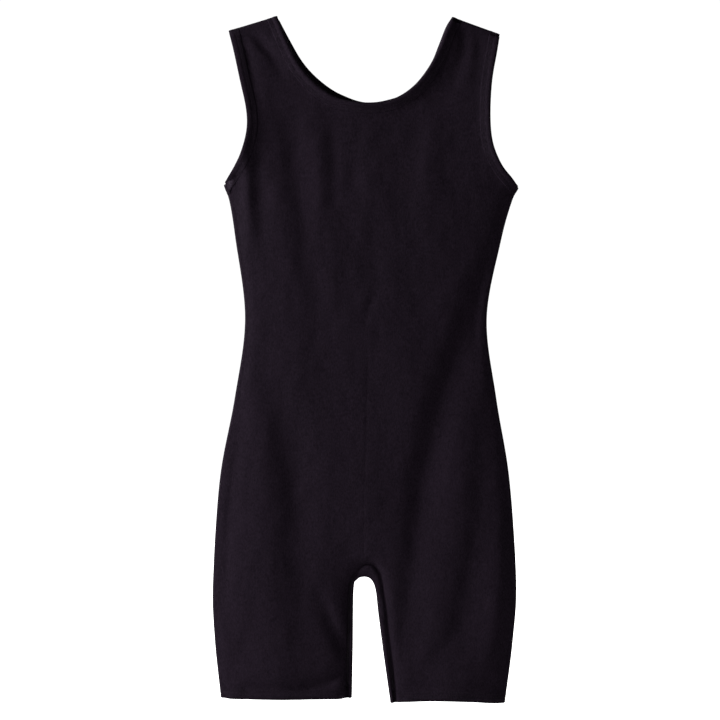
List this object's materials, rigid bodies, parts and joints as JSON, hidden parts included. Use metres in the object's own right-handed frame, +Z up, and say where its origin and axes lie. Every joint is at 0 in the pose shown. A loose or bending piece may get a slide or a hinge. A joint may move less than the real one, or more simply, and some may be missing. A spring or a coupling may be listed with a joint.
{
  "type": "leotard with short legs",
  "caption": "Sleeveless pull-on knit leotard with a scoop neck, thigh-length legs, elasticated bindings and twin-needle hems.",
  "frame": {"origin": "the middle of the line on which a hanger carries the two shoulder straps, halfway between the front and back panels", "axes": "+Z up to the shoulders as the garment hangs, +Y from the front panel to the back panel, +X to the wearer's left"},
  "size_m": [0.3531, 0.0344, 0.7901],
  "materials": {
    "knit": "matte black cotton and elastane jersey knit",
    "binding": "matte black jersey binding",
    "elastic": "black covered elastic",
    "thread": "black polyester sewing thread",
    "lining": "black cotton lining",
    "label": "white satin tape, blank"
  },
  "bodies": {
    "root": {"front_panel": "knit", "back_panel": "knit", "right_leg_hem": "knit", "left_leg_hem": "knit", "neck_binding": "binding", "right_armhole_binding": "binding", "left_armhole_binding": "binding", "neck_elastic": "elastic", "right_armhole_elastic": "elastic", "left_armhole_elastic": "elastic", "neck_coverstitch": "thread", "right_armhole_coverstitch": "thread", "left_armhole_coverstitch": "thread", "right_leg_coverstitch": "thread", "left_leg_coverstitch": "thread", "right_shoulder_seam": "thread", "left_shoulder_seam": "thread", "right_side_seam": "thread", "left_side_seam": "thread", "inseam": "thread", "front_rise_seam": "thread", "back_rise_seam": "thread", "crotch_lining": "lining", "care_label": "label"}
  },
  "joints": []
}
